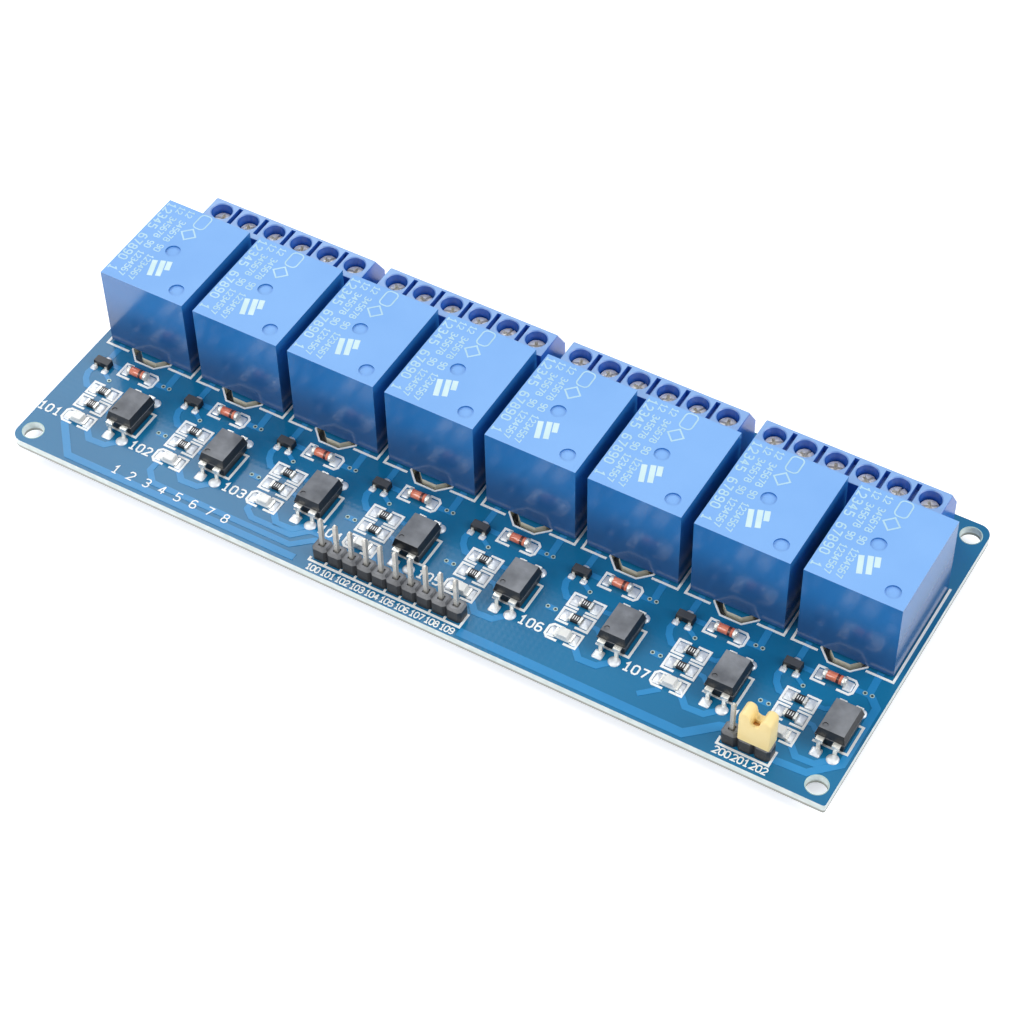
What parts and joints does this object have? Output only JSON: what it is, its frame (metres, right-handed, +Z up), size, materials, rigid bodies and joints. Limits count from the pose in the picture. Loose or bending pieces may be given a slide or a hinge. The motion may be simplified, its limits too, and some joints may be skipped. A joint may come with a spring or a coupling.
{
  "type": "relay module board",
  "caption": "Blue circuit board with a row of sealed blue relays, screw terminal blocks along the back edge, and pin headers with a jumper cap along the front.",
  "frame": {"origin": "under the middle of the board, on the plane that the trimmed pin tips stand on", "axes": "+X along the row of relays, towards the jumper cap; +Y across the board, towards the terminal blocks; +Z up, out of the relay side"},
  "size_m": [0.138, 0.0566, 0.0184],
  "materials": {
    "board_lacquer": "blue lacquer on fibreglass board",
    "relay_case": "moulded blue plastic, glossy",
    "terminal_plastic": "moulded blue plastic, satin",
    "tinned_metal": "tinned",
    "moulded_black": "moulded black resin, matt",
    "diode_glass": "orange glass with tinned ends",
    "led_lens": "clear resin",
    "led_base": "white laminate",
    "plated_screw": "nickel plated",
    "plated_cage": "zinc plated",
    "current_bar": "tinned brass",
    "resistor_black": "black glaze",
    "header_black": "moulded black plastic",
    "jumper_plastic": "moulded pale yellow plastic",
    "clip_bronze": "spring bronze"
  },
  "bodies": {
    "board": {"circuit_board": "board_lacquer", "diode_1": "diode_glass", "diode_2": "diode_glass", "diode_3": "diode_glass", "diode_4": "diode_glass", "diode_5": "diode_glass", "diode_6": "diode_glass", "diode_7": "diode_glass", "diode_8": "diode_glass", "input_header": "header_black", "input_header_pins": "tinned_metal", "led_bases": "led_base", "led_lens_1": "led_lens", "led_lens_2": "led_lens", "led_lens_3": "led_lens", "led_lens_4": "led_lens", "led_lens_5": "led_lens", "led_lens_6": "led_lens", "led_lens_7": "led_lens", "led_lens_8": "led_lens", "optocoupler_1": "moulded_black", "optocoupler_2": "moulded_black", "optocoupler_3": "moulded_black", "optocoupler_4": "moulded_black", "optocoupler_5": "moulded_black", "optocoupler_6": "moulded_black", "optocoupler_7": "moulded_black", "optocoupler_8": "moulded_black", "optocoupler_leads": "tinned_metal", "relay_1": "relay_case", "relay_2": "relay_case", "relay_3": "relay_case", "relay_4": "relay_case", "relay_5": "relay_case", "relay_6": "relay_case", "relay_7": "relay_case", "relay_8": "relay_case", "relay_pins": "tinned_metal", "resistor_bodies": "resistor_black", "resistor_caps": "tinned_metal", "supply_header": "header_black", "supply_header_pins": "tinned_metal", "terminal_bars": "current_bar", "terminal_blocks": "terminal_plastic", "terminal_cages": "plated_cage", "terminal_screws": "plated_screw", "transistor_1": "moulded_black", "transistor_2": "moulded_black", "transistor_3": "moulded_black", "transistor_4": "moulded_black", "transistor_5": "moulded_black", "transistor_6": "moulded_black", "transistor_7": "moulded_black", "transistor_8": "moulded_black", "transistor_leads": "tinned_metal"},
    "jumper": {"jumper_cap": "jumper_plastic", "jumper_clip": "clip_bronze"}
  },
  "joints": [
    {"name": "jumper_lift", "type": "slide", "parent": "board", "child": "jumper", "axis": [0, 0, 1], "range_m": [0, 0.007]}
  ]
}
